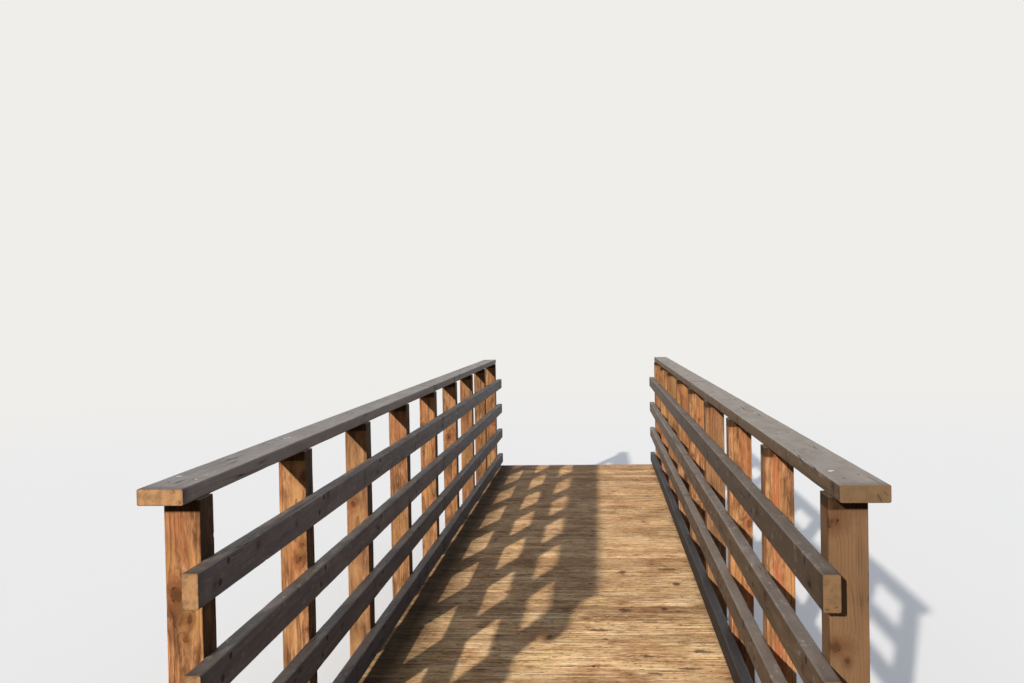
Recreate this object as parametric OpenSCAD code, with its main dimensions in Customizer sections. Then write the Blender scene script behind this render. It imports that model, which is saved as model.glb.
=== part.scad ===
// Wooden footbridge: three beams on bank sills, a grooved board deck, two post and rail sides.
// X is across the bridge, Y along it from the near bank to the far bank, Z up. The origin is
// at the middle of the bridge, on the level that the bank sills rest on. Sizes in millimetres.

/* [Span] */
// Distance from one post's centre to the next, along the bridge
bay_length = 1000; // [800:10:1200]
// How far the beams, deck and rails run on past the end posts
end_run = 135; // [100:5:300]
// Distance across the bridge between the inner faces of the two rows of posts
post_spacing = 1650; // [1200:10:2000]

/* [Bank sills] */
// Height of each sill
sill_height = 125; // [75:5:200]
// How far a sill runs out past the posts, on each side of the bridge
sill_overhang = 75; // [0:5:300]
// How far a sill runs on past the end posts, towards the water
sill_toe = 15; // [0:1:100]

/* [Beams] */
// Width of each of the three beams
beam_width = 100; // [75:5:150]
// Depth of each beam
beam_depth = 300; // [225:5:350]
// Thickness of the blocks that hold the beams upright
block_thickness = 75; // [38:1:100]
// How far those blocks stop short of the beams' upper and lower edges
block_inset = 50; // [0:5:80]

/* [Deck boards] */
// Width of a deck board
board_width = 120; // [95:1:145]
// Thickness of a deck board
board_thickness = 32; // [28:1:45]
// Gap between one deck board and the next
board_gap = 5; // [3:0.5:10]
// Number of anti-slip grooves in each board
groove_count = 7; // [3:1:7]
// Width of a groove at the board's face
groove_width = 6; // [4:0.5:7]
// Width of a groove at its floor
groove_floor = 4; // [2:0.5:4]
// Depth of a groove
groove_depth = 4; // [2:0.5:6]
// Flat on a board's upper edges
board_chamfer = 2; // [1:0.5:4]

/* [Posts] */
// Side of the square posts
post_size = 100; // [75:1:125]
// Radius that takes the sharpness off the posts' corners
post_arris = 3; // [1:0.5:8]

/* [Rails] */
// Thickness of a rail
rail_thickness = 45; // [32:1:60]
// Depth of a rail
rail_depth = 95; // [70:1:120]
// Height of the top rail's upper edge above the deck
rail_top_height = 920; // [850:5:1000]
// Gap between the deck and the bottom rail
rail_clearance = 36; // [20:1:80]
// Gap where two lengths of rail or cap meet on the middle post
butt_gap = 2; // [1:0.5:6]
// Radius on the long edges of rails and caps
rail_arris = 5; // [2:0.5:10]

/* [Caps] */
// Height of the cap's upper face above the deck
cap_height = 1130; // [1050:5:1300]
// Width of the cap that lies flat on the posts
cap_width = 125; // [110:1:150]
// Thickness of the cap
cap_thickness = 45; // [30:1:60]
// How far the cap's inner edge is set back from the posts' inner faces
cap_setback = 8; // [0:1:20]
// How far the caps run on past the end posts
cap_run = 90; // [20:5:130]

/* [Hidden] */
// Curved faces are round arcs, not flats
$fn = 24;
// Posts along each side, and the gaps between them
posts = 9;
bays = posts - 1;
// Sides of the bridge, as seen from the near end
left = -1;
right = 1;
// Rails on each side, counted from the deck up
rails = 4;
// Faces of the posts and the length over their outer faces
post_inner = post_spacing / 2;
post_row = bays * bay_length + post_size;
// Length of the beams, rails and deck, and of the caps
bridge_length = post_row + 2 * end_run;
cap_length = post_row + 2 * cap_run;
// Sill under the beams and end posts at each end
sill_length = post_spacing + 2 * post_size + 2 * sill_overhang;
sill_width = end_run + post_size + sill_toe;
// Levels of the structure, from the sills up
beam_top = sill_height + beam_depth;
deck_top = beam_top + board_thickness;
post_top = deck_top + cap_height - cap_thickness;
// Beams: the outer two lie against the posts, one lies in the middle
beam_offset = post_inner - beam_width / 2;
// Clear distance between two neighbouring beams, which a block fills, and the block's depth
beam_clear = beam_offset - beam_width;
block_depth = beam_depth - 2 * block_inset;
// Distance from one rail to the next, which spreads the rails evenly
rail_pitch = (rail_top_height - rail_depth - rail_clearance) / (rails - 1);
// Number of boards that fill the length, and the pitch that spreads them evenly
boards = round((bridge_length + board_gap) / (board_width + board_gap));
board_pitch = (bridge_length + board_gap) / boards;
// Board as cut, so that the first and last one end with the beams
board_cut = board_pitch - board_gap;
groove_pitch = board_cut / (groove_count + 1);
// Timber colours
sill_colour = "#5B4636";
beam_colour = "#7A5A40";
block_colour = "#8A6848";
deck_colour = "#C99D6B";
post_colour = "#A06B42";
rail_colour = "#6B5648";
cap_colour = "#8F8378";

// Place along the bridge of the post with this number, counted from the near end
function post_y(number) = (number - 1 - bays / 2) * bay_length;

// Upper edge of the rail with this number, counted from the deck up
function rail_z(number) = deck_top + rail_top_height - (rails - number) * rail_pitch;

// Section of a planed timber: a rectangle about the origin with round corners
module timber_section(width, depth, arris) {
  square([width - 2 * arris, depth], center = true);
  square([width, depth - 2 * arris], center = true);
  for (x = [-1, 1], y = [-1, 1])
    translate([x * (width / 2 - arris), y * (depth / 2 - arris)])
      circle(r = arris);
}

// Planed timber that lies along the bridge in two lengths, which meet on the middle post
module long_timber(length, width, depth, arris) {
  piece = (length - butt_gap) / 2;
  for (start = [-length / 2, butt_gap / 2])
    translate([0, start, 0])
      rotate([-90, 0, 0])
        linear_extrude(piece)
          timber_section(width, depth, arris);
}

// Timber bearer that spreads the bridge's load on the bank
module bank_sill(end) {
  y = end * (bridge_length - sill_width) / 2;
  translate([0, y, sill_height / 2])
    cube([sill_length, sill_width, sill_height], center = true);
}

// Sawn beam from sill to sill
module beam(x) {
  translate([x, 0, sill_height + beam_depth / 2])
    cube([beam_width, bridge_length, beam_depth], center = true);
}

// Two blocks across the bridge at a post, one on each side of the middle beam
module blocking(number) {
  for (side = [left, right])
    translate([side * beam_offset / 2, post_y(number), sill_height + beam_depth / 2])
      cube([beam_clear, block_thickness, block_depth], center = true);
}

// Section of a deck board: eased upper edges and a row of tapered grooves
module board_section() {
  difference() {
    polygon([
      [0, 0],
      [board_cut, 0],
      [board_cut, board_thickness - board_chamfer],
      [board_cut - board_chamfer, board_thickness],
      [board_chamfer, board_thickness],
      [0, board_thickness - board_chamfer]
    ]);
    for (i = [1 : groove_count])
      translate([i * groove_pitch, board_thickness])
        polygon([
          [-groove_width / 2, 1],
          [-groove_width / 2, 0],
          [-groove_floor / 2, -groove_depth],
          [groove_floor / 2, -groove_depth],
          [groove_width / 2, 0],
          [groove_width / 2, 1]
        ]);
  }
}

// One quarter of the deck, counted from the near end, as separate boards on the beams
module deck_quarter(quarter) {
  first = round((quarter - 1) * boards / 4);
  last = round(quarter * boards / 4) - 1;
  for (i = [first : last])
    translate([0, i * board_pitch - bridge_length / 2, beam_top])
      rotate([90, 0, 90])
        linear_extrude(post_spacing, center = true)
          board_section();
}

// Post bolted to the outer face of an outer beam, from the sill's level up to the cap.
// Its corners are planed by hand, in three flats.
module post(side, number) {
  translate([side * (post_inner + post_size / 2), post_y(number), sill_height])
    linear_extrude(post_top - sill_height)
      timber_section(post_size, post_size, post_arris, $fn = 12);
}

// Rail on the posts' inner faces, numbered from the deck up
module rail(side, number) {
  translate([side * (post_inner - rail_thickness / 2), 0, rail_z(number) - rail_depth / 2])
    long_timber(bridge_length, rail_thickness, rail_depth, rail_arris);
}

// Flat cap on the posts' upper ends
module cap(side) {
  translate([side * (post_inner + cap_setback + cap_width / 2), 0, post_top + cap_thickness / 2])
    long_timber(cap_length, cap_width, cap_thickness, rail_arris);
}

module near_bank_sill() { color(sill_colour) bank_sill(-1); }
module far_bank_sill() { color(sill_colour) bank_sill(1); }
module left_beam() { color(beam_colour) beam(left * beam_offset); }
module middle_beam() { color(beam_colour) beam(0); }
module right_beam() { color(beam_colour) beam(right * beam_offset); }
module blocking_1() { color(block_colour) blocking(1); }
module blocking_2() { color(block_colour) blocking(3); }
module blocking_3() { color(block_colour) blocking(5); }
module blocking_4() { color(block_colour) blocking(7); }
module blocking_5() { color(block_colour) blocking(9); }
module deck_near_end() { color(deck_colour) deck_quarter(1); }
module deck_near_middle() { color(deck_colour) deck_quarter(2); }
module deck_far_middle() { color(deck_colour) deck_quarter(3); }
module deck_far_end() { color(deck_colour) deck_quarter(4); }
module left_post_1() { color(post_colour) post(left, 1); }
module left_post_2() { color(post_colour) post(left, 2); }
module left_post_3() { color(post_colour) post(left, 3); }
module left_post_4() { color(post_colour) post(left, 4); }
module left_post_5() { color(post_colour) post(left, 5); }
module left_post_6() { color(post_colour) post(left, 6); }
module left_post_7() { color(post_colour) post(left, 7); }
module left_post_8() { color(post_colour) post(left, 8); }
module left_post_9() { color(post_colour) post(left, 9); }
module right_post_1() { color(post_colour) post(right, 1); }
module right_post_2() { color(post_colour) post(right, 2); }
module right_post_3() { color(post_colour) post(right, 3); }
module right_post_4() { color(post_colour) post(right, 4); }
module right_post_5() { color(post_colour) post(right, 5); }
module right_post_6() { color(post_colour) post(right, 6); }
module right_post_7() { color(post_colour) post(right, 7); }
module right_post_8() { color(post_colour) post(right, 8); }
module right_post_9() { color(post_colour) post(right, 9); }
module left_rail_bottom() { color(rail_colour) rail(left, 1); }
module left_rail_lower() { color(rail_colour) rail(left, 2); }
module left_rail_upper() { color(rail_colour) rail(left, 3); }
module left_rail_top() { color(rail_colour) rail(left, 4); }
module right_rail_bottom() { color(rail_colour) rail(right, 1); }
module right_rail_lower() { color(rail_colour) rail(right, 2); }
module right_rail_upper() { color(rail_colour) rail(right, 3); }
module right_rail_top() { color(rail_colour) rail(right, 4); }
module left_cap() { color(cap_colour) cap(left); }
module right_cap() { color(cap_colour) cap(right); }

near_bank_sill();
far_bank_sill();
left_beam();
middle_beam();
right_beam();
blocking_1();
blocking_2();
blocking_3();
blocking_4();
blocking_5();
deck_near_end();
deck_near_middle();
deck_far_middle();
deck_far_end();
left_post_1();
left_post_2();
left_post_3();
left_post_4();
left_post_5();
left_post_6();
left_post_7();
left_post_8();
left_post_9();
right_post_1();
right_post_2();
right_post_3();
right_post_4();
right_post_5();
right_post_6();
right_post_7();
right_post_8();
right_post_9();
left_rail_bottom();
left_rail_lower();
left_rail_upper();
left_rail_top();
right_rail_bottom();
right_rail_lower();
right_rail_upper();
right_rail_top();
left_cap();
right_cap();
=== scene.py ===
"""The looks of a timber footbridge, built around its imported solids.

X is across the bridge, Y along it towards its far end, Z up, in metres. Every timber is made anew
inside the box of the solid that it stands for, and carries the lie of its grain with it, so that
rings, knots and cracks run on from face to face and come out in the sawn end.
"""

import math
import random
from functools import partial

import bmesh
import bpy
from mathutils import Matrix, Vector, noise


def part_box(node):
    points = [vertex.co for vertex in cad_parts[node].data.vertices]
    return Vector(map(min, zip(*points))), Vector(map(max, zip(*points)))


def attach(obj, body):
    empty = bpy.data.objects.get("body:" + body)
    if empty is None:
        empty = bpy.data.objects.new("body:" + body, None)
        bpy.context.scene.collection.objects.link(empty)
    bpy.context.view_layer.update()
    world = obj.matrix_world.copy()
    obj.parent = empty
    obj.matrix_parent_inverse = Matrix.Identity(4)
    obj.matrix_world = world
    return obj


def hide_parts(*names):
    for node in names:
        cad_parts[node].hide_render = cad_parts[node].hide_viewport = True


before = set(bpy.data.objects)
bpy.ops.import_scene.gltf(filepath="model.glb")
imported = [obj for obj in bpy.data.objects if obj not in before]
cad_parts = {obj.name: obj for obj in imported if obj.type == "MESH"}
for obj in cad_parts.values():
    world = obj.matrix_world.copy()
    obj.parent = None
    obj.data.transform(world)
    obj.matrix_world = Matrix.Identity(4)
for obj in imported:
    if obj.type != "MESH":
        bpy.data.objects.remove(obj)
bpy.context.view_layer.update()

X, Y, Z = 0, 1, 2
MM = 0.001
SIDES = (("left", -1), ("right", 1))
LEVELS = ("bottom", "lower", "upper", "top")
POSTS = range(1, 10)
HALF_RAIL = 47.5 * MM
# A rail's two screws stand to both sides of a post's middle, the far one higher.
HALF_PAIR, HALF_RISE, SCREW_RISE = 32.0 * MM, 22.0 * MM, 8.0 * MM
BEAM_NODES = ("left_beam", "middle_beam", "right_beam")
BOARD_NODES = ("deck_near_end", "deck_near_middle", "deck_far_middle", "deck_far_end")


def new_object(name, data):
    made = bpy.data.objects.new(name, data)
    bpy.context.scene.collection.objects.link(made)
    return made


# The camera stands before the near end, at eye level.

EYE = (0.2465, -6.7283, 2.0103)
YAW, PITCH, ROLL = math.radians(4.7495), math.radians(1.2361), math.radians(-1.0926)
PHOTO_WIDTH = 1024
LENS_PIXELS = 1031.8
SENSOR = 36.0

camera_data = bpy.data.cameras.new("eye_level_view")
camera_data.sensor_width = SENSOR
camera_data.lens = LENS_PIXELS / PHOTO_WIDTH * SENSOR
camera_data.clip_end = 300.0
camera = new_object("eye_level_view", camera_data)
camera.matrix_world = (
    Matrix.Translation(EYE)
    @ Matrix.Rotation(YAW, 4, "Z")
    @ Matrix.Rotation(math.radians(90.0) - PITCH, 4, "X")
    @ Matrix.Rotation(ROLL, 4, "Z")
)
bpy.context.scene.camera = camera


# Finishes

# Kinds of node. One that works something out has its operation behind it.
PLUS, MINUS, TIMES, TIMES_PLUS = "Math ADD", "Math SUBTRACT", "Math MULTIPLY", "Math MULTIPLY_ADD"
LEAST, MOST, SIZE = "Math MINIMUM", "Math MAXIMUM", "Math ABSOLUTE"
STRETCH, STRETCH_PLUS = "VectorMath MULTIPLY", "VectorMath MULTIPLY_ADD"
OFFSET, LENGTH, DOT = "VectorMath SUBTRACT", "VectorMath LENGTH", "VectorMath DOT_PRODUCT"
NOISE, MIX, RAMP, JOIN, PARTS = "TexNoise", "Mix", "ValToRGB", "CombineXYZ", "SeparateXYZ"
# This one takes a value, where its range starts and ends, and what it gives there, 0 and 1 if not said.
MAP = "MapRange"
SMOOTH = {"interpolation_type": "SMOOTHSTEP"}

# What a timber's points carry: their place in the log, their place in the section, and the timber's lot,
# which is how light it came out, how brown and how damp it is, from 0 to 1.
LAYERS = ("grain", "section", "lot")
SUNWARD = (-0.297, -0.902, 0.314)
GROOVES = 7
END_RING_GAP = 6.0 * MM
# Where the marking dye runs down its post, and how far it wanders.
DYE_LINE, DYE_DRIFT = 0.8625, 0.05


def linear(hex_colour):
    """An sRGB hex colour as the linear values that a shader socket takes."""
    parts = [int(hex_colour[i:i + 2], 16) / 255.0 for i in (1, 3, 5)]
    return [c / 12.92 if c <= 0.04045 else ((c + 0.055) / 1.055) ** 2.4 for c in parts] + [1.0]


def add_node(tree, kind, inputs=(), out=None, stops=(), **settings):
    """Adds a node with its settings, fills or links its inputs, and gives one of its outputs.

    Without a name in out, that is the first one in use. Colours are hex.
    """
    kind, _, operation = kind.partition(" ")
    node = tree.nodes.new("ShaderNode" + kind)
    if operation:
        node.operation = operation
    for key, value in settings.items():
        setattr(node, key, value)
    for key, value in inputs.items() if isinstance(inputs, dict) else enumerate(inputs):
        socket = node.inputs[key]
        if isinstance(value, bpy.types.NodeSocket):
            tree.links.new(value, socket)
        else:
            socket.default_value = linear(value) if isinstance(value, str) else value
    for i, (place, colour) in enumerate(stops):
        stop = node.color_ramp.elements[i] if i < 2 else node.color_ramp.elements.new(place)
        stop.position, stop.color = place, linear(colour)
    return node.outputs[out] if out else next((socket for socket in node.outputs if socket.enabled), None)


def new_finish(name):
    """A material, and the function that adds nodes to it."""
    material = bpy.data.materials.new(name)
    material.use_nodes = True
    material.node_tree.nodes.clear()
    return material, partial(add_node, material.node_tree)


def other_axes(along):
    return [axis for axis in (X, Y, Z) if axis != along]


def read_log(add, grain, here, ring_gap, knot_share, wander, along, marked_knots):
    """Where a point lies in its log: its fibre, its ring and its knot, as a dict of sockets.

    Rings are ring_gap mm apart and wander by up to wander mm. Knots are branches that run out from the
    pith, 10 to 26 mm across, and the fibres bend round them. knot_share of the possible ones show.
    marked_knots are knots at known places, as x, y, z and radius in metres.
    """
    bent, marked = grain, None
    for x, y, z, radius in marked_knots:
        offset = add(OFFSET, (here, (x, y, z)))
        parts = add(PARTS, (offset,)).node.outputs
        offset = add(JOIN, [parts[axis] for axis in (along, *other_axes(along))])
        ragged = add(NOISE, {"Vector": grain, "Scale": 0.7 / radius, "Detail": 2.0}, out="Color")
        ragged = add(OFFSET, (ragged, (0.5, 0.5, 0.5)))
        offset = add(STRETCH_PLUS, (ragged, (radius, radius, radius), offset))
        reach = add(STRETCH, (offset, (0.45, 1.0, 1.0)))
        reach = add(LENGTH, (reach,))
        pull = add(MAP, (reach, radius * 0.5, radius * 5.0, 0.85, 0.0), **SMOOTH)
        pull = add(JOIN, (0.0, pull, pull))
        aside = add(STRETCH, (offset, pull))
        bent = add(OFFSET, (bent, aside))
        near = add(STRETCH, (offset, (0.7, 1.0, 1.0)))
        near = add(LENGTH, (near,))
        near = add("Math DIVIDE", (near, radius))
        marked = add(LEAST, (near, marked)) if marked else near

    # Trunks aren't straight: the rings wander over half a metre.
    slow = add(STRETCH, (grain, (1.5, 6.0, 6.0)))
    bow = add(NOISE, {"Vector": slow, "Scale": 1.0, "Detail": 2.0}, out="Color")
    point = add(STRETCH_PLUS, (bow, (0.0, wander * MM, wander * MM), bent))
    flat = add(STRETCH, (point, (0.0, 1.0, 1.0)))
    radius = add(LENGTH, (flat,))
    place = add(PARTS, (point,)).node.outputs
    angle = add("Math ARCTAN2", (place["Z"], place["Y"]))

    # In each 300 mm of length and 1.1 radians of turn there may be one branch.
    length_cell, turn_cell = 0.30, 1.1
    u = add("Math DIVIDE", (place["X"], length_cell))
    v = add("Math DIVIDE", (angle, turn_cell))
    cell = add(JOIN, (u, v))
    branch = add("TexVoronoi", {"Vector": cell, "Scale": 1.0, "Randomness": 0.8},
                 voronoi_dimensions="2D").node.outputs
    centre = add(PARTS, (branch["Position"],)).node.outputs
    chance = add("SeparateColor", (branch["Color"],)).node.outputs
    ahead = add(MINUS, (u, centre["X"]))
    ahead = add(TIMES, (ahead, length_cell))
    aside = add(MINUS, (v, centre["Y"]))
    aside = add(TIMES, (aside, turn_cell))
    aside = add(TIMES, (aside, radius))
    away = add(JOIN, (ahead, aside))
    ragged = add(NOISE, {"Vector": grain, "Scale": 70.0, "Detail": 2.0}, out="Color")
    ragged = add(OFFSET, (ragged, (0.5, 0.5, 0.0)))
    away = add(STRETCH_PLUS, (ragged, (0.022, 0.013, 0.0), away))
    away = add(STRETCH, (away, (0.75, 1.0, 0.0)))
    away = add(LENGTH, (away,))
    size = add(MAP, (chance["Green"], 0.0, 1.0, 5.0 * MM, 13.0 * MM))
    away = add("Math DIVIDE", (away, size))
    absent = add("Math GREATER_THAN", (chance["Red"], knot_share))
    away = add(TIMES_PLUS, (absent, 10.0, away))
    push = add(MAP, (away, 0.4, 5.0, 1.0, 0.0), interpolation_type="SMOOTHERSTEP")
    # The fibres are pushed aside by the branch, and the rings rise round it.
    turn = add("VectorMath CROSS_PRODUCT", ((1.0, 0.0, 0.0), flat))
    turn = add("VectorMath NORMALIZE", (turn,))
    shift = add(TIMES, (aside, push))
    shift = add("VectorMath SCALE", {0: turn, "Scale": shift})
    fibre = add(OFFSET, (point, shift))
    raised = add(TIMES_PLUS, (push, 11.0 * MM, radius))
    years = add(TIMES, (raised, 1.0 / (ring_gap * MM)))
    late = add("Math FRACT", (years,))
    late = add("Math POWER", (late, 3.0))
    year = add("Math FLOOR", (years,))
    growth = add("TexWhiteNoise", {"W": year}, out="Value", noise_dimensions="1D")
    growth = add(MAP, (growth, 0.0, 1.0, 0.25, 1.0))
    late = add(TIMES, (late, growth))

    if marked:
        away = add(LEAST, (away, marked))
    core = add(MAP, (away, 0.35, 1.35, 1.0, 0.0), **SMOOTH)
    halo = add(MAP, (away, 0.6, 4.0, 1.0, 0.0), **SMOOTH)
    # Old bark lines parts of the knot's rim.
    bark = add(MINUS, (away, 0.95))
    bark = add(SIZE, (bark,))
    bark = add(MAP, (bark, 0.05, 0.22, 0.9, 0.0))
    broken = add(NOISE, {"Vector": grain, "Scale": 60.0, "Detail": 2.0})
    broken = add(MAP, (broken, 0.48, 0.62))
    bark = add(TIMES, (bark, broken))
    # Close to a knot the rings run together and can't be told apart.
    apart = add(MAP, (halo, 0.0, 1.0, 1.0, 0.15))
    late = add(TIMES, (late, apart))
    return {"grain": grain, "point": point, "fibre": fibre, "late": late, "knot": core, "halo": halo,
            "bark": bark}


def stain_fields(add, log, section, streak, ribs):
    """Noise that runs with the fibres, as a dict of sockets, and the stain's tone, which it makes.

    Stain lies in streaks about 20 mm wide and 100 to 500 mm long, over blotches a hand wide. Fibres 2 to
    4 mm wide are drawn coarser than the real 0.1 mm so that they show.
    """
    fields = {}
    for field, (along_grain, across_grain), detail, rough in (
        ("streaks", streak, 5.0, 0.7), ("blotches", (6.0, 14.0), 4.0, 0.6),
        ("fibres", (36.0, 280.0), 3.0, 0.65), ("silt", (16.0, 34.0), 4.0, 0.7),
        ("flecks", (24.0, 75.0), 3.0, 0.6), ("hairs", (0.8, 24.0), 2.0, 0.5),
        ("openings", (2.2, 9.0), 1.0, 0.5),
    ):
        space = add(STRETCH, (log["fibre"], (along_grain, across_grain, across_grain)))
        fields[field] = add(NOISE, {"Vector": space, "Scale": 1.0, "Detail": detail, "Roughness": rough})
    shares = (("streaks", 0.48), ("blotches", 0.30), ("fibres", 0.22))
    if ribs:
        # Each rib is a line of its own: its tone runs on for some 450 mm, with dashes 45 mm long in it,
        # and stops at the groove beside it.
        rib = add(TIMES_PLUS, (section["X"], (GROOVES + 1) / 2, (GROOVES + 1) / 2))
        rib = add("Math FLOOR", (rib,))
        along_log = add(PARTS, (log["grain"],), out="X")
        for field, length, step, detail in (("lines", 2.2, 0.8, 3.0), ("dashes", 22.0, 2.3, 3.0)):
            space = add(JOIN, (add(TIMES, (along_log, length)), add(TIMES, (rib, step))))
            fields[field] = add(NOISE, {"Vector": space, "Scale": 1.0, "Detail": detail, "Roughness": 0.65})
        shares = (("streaks", 0.12), ("blotches", 0.12), ("fibres", 0.14), ("lines", 0.40), ("dashes", 0.22))
    tone = 0.0
    for field, share in shares:
        tone = add(TIMES_PLUS, (fields[field], share, tone))
    return fields, tone


def lit_and_bleached_share(add, fields, place, normal, cap_shadow_from):
    """How far a face takes the lit, sun-bleached tones and not the painted shade ones, by how it faces the
    key light.
    Right under the caps, above the given height, it takes a painted shadow of the cap.
    """
    faces_sun = add(DOT, (normal, SUNWARD))
    # The outer sides weather too, and so do those that face the far end, so they take part of the lit,
    # bleached tones.
    outward = add(TIMES, (add("Math SIGN", (place["X"],)), 0.12))
    open_side = add(DOT, (normal, add(JOIN, (outward, 0.10, 0.0))))
    faces_sun = add(MOST, (faces_sun, open_side))
    faces_sun = add(TIMES_PLUS, (fields["blotches"], 0.5, faces_sun))
    lit_and_bleached = add(MAP, (faces_sun, 0.10, 0.52), **SMOOTH)
    # Right under the caps the stain stays dark: a painted shadow of the cap.
    if cap_shadow_from:
        painted_cap_shadow = add(MAP, (place["Z"], cap_shadow_from, cap_shadow_from + 5.0 * MM, 1.0, 0.1))
        lit_and_bleached = add(TIMES, (lit_and_bleached, painted_cap_shadow))
    return lit_and_bleached


# The next three give coats. A coat is its share, its colour, and how it lies on the coats below it.

def trodden_coats(add, fields, here, place, section, facing, marks):
    """The coats of dirt and damp on the grooved boards, and painted shade by the left rail and on the far
    boards.
    """
    # Mud and damp gather in the grooves, some more than others; feet keep the ribs' tops clean.
    muddy = add(MAP, (section["Y"], 0.96, 0.82))
    silted = add(MAP, (fields["lines"], 0.60, 0.40, 0.25, 1.0))
    muddy = add(TIMES, (muddy, silted))
    # Trodden dirt lies in patches over two or three boards, and in flecks 10 to 40 mm long.
    space = add(STRETCH, (here, (3.0, 4.0, 4.0)))
    trodden = add(NOISE, {"Vector": space, "Scale": 1.0, "Detail": 5.0, "Roughness": 0.65}, out="Color")
    trodden = add(PARTS, (trodden,)).node.outputs
    patches, greenish, pinkish = (
        add(MAP, (trodden[axis], low, 0.64, 0.0, share))
        for axis, low, share in (("X", 0.46, 0.55), ("Y", 0.5, 0.20), ("Z", 0.5, 0.20))
    )
    fleck = add(MAP, (fields["flecks"], 0.60, 0.67, 0.0, 0.8))
    dash = add(MAP, (fields["dashes"], 0.34, 0.27, 0.0, 0.6))
    # Painted shade darkens the left edge, beside the rail, all but a strip under the bottom rail that the
    # low key light reaches.
    painted_rail_shade = add(MAP, (place["X"], -0.52, -0.72, 0.0, 0.95))
    outside_lit_strip = add(MAP, (place["X"], -0.795, -0.788, 0.25, 1.0))
    painted_rail_shade = add(TIMES, (painted_rail_shade, outside_lit_strip))
    # Painted shade: the far boards are darker and browner, standing in for how the deck darkens when seen at
    # a low angle.
    far_painted_shade = add(MAP, (place["Y"], -2.5, 3.5, 0.0, 0.8))
    # Resin and dirt left dark marks along the ribs. Each is a place and a half size, in metres.
    stain = None
    for x, y, half_length, half_width in marks:
        off = add(OFFSET, (here, (x, y, 0.0)))
        off = add(STRETCH, (off, (1.0 / half_length, 1.0 / half_width, 0.0)))
        off = add(LENGTH, (off,))
        stain = add(LEAST, (off, stain)) if stain else off
    stain = add(TIMES_PLUS, (fields["flecks"], 2.0, stain))
    stain = add(TIMES_PLUS, (fields["dashes"], 2.4, stain))
    stain = add(MAP, (stain, 2.95, 3.5, 0.8, 0.0))
    light_fleck = add(MAP, (fields["flecks"], 0.40, 0.34, 0.0, 0.5))
    trodden_face = add(MAP, (facing["Z"], 0.3, 0.8))
    light_fleck = add(TIMES, (light_fleck, trodden_face))
    return [(muddy, "#4E3722", "MIX"), (patches, "#A5805C", "MULTIPLY"), (greenish, "#D2DC98", "MULTIPLY"),
            (pinkish, "#FFCDB4", "MULTIPLY"), (light_fleck, "#FFE6B8", "MIX"), (fleck, "#553A24", "MIX"),
            (dash, "#6E4A2C", "MIX"), (stain, "#4A3122", "MIX"), (painted_rail_shade, "#595650", "MULTIPLY"),
            (far_painted_shade, "#E6DDD6", "MULTIPLY")]


def tannin_and_hole_shade_coat(add, fields, place, section, facing):
    """Black marks 20 to 30 mm long round both screws at each post. Tannin stain, with a painted shade of
    countersunk holes in it. Posts are a metre apart.
    """
    bay = add(PLUS, (place["Y"], 0.5))
    bay = add(MINUS, (add("Math FRACT", (bay,)), 0.5))
    upper = add("Math SIGN", (bay,))
    off_y = add(TIMES_PLUS, (upper, -HALF_PAIR, bay))
    height = add(TIMES_PLUS, (section["Y"], HALF_RAIL, -SCREW_RISE))
    off_z = add(TIMES_PLUS, (upper, -HALF_RISE, height))
    off = add(JOIN, (add(TIMES, (off_y, 0.7)), off_z))
    off = add(LENGTH, (off,))
    off = add(TIMES_PLUS, (fields["silt"], 16.0 * MM, off))
    tannin_and_hole_shade = add(MAP, (off, 15.0 * MM, 20.0 * MM, 0.9, 0.0))
    upright = add("Math LESS_THAN", (add(SIZE, (facing["Z"],)), 0.5))
    return add(TIMES, (tannin_and_hole_shade, upright)), "#1A1513", "MIX"


def dye_coat(add, log, place, facing):
    """Red marking dye that has run down the near face in a ragged line 10 to 20 mm wide."""
    space = add(STRETCH, (log["grain"], (16.0, 170.0, 170.0)))
    run = add(NOISE, {"Vector": space, "Scale": 1.0, "Detail": 4.0, "Roughness": 0.65})
    space = add(STRETCH, (log["grain"], (5.0, 0.0, 0.0)))
    drift = add(NOISE, {"Vector": space, "Scale": 1.0, "Detail": 2.0})
    off = add(TIMES_PLUS, (drift, DYE_DRIFT, place["X"]))
    off = add(MINUS, (off, DYE_LINE + DYE_DRIFT / 2))
    off = add(SIZE, (off,))
    off = add(MAP, (off, 0.0, 30.0 * MM, 0.14, -0.20))
    dye = add(PLUS, (run, off))
    dye = add(MAP, (dye, 0.51, 0.68, 0.0, 0.88))
    nearside = add("Math LESS_THAN", (facing["Y"], -0.5))
    return add(TIMES, (dye, nearside)), "#A35334", "MIX"


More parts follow.
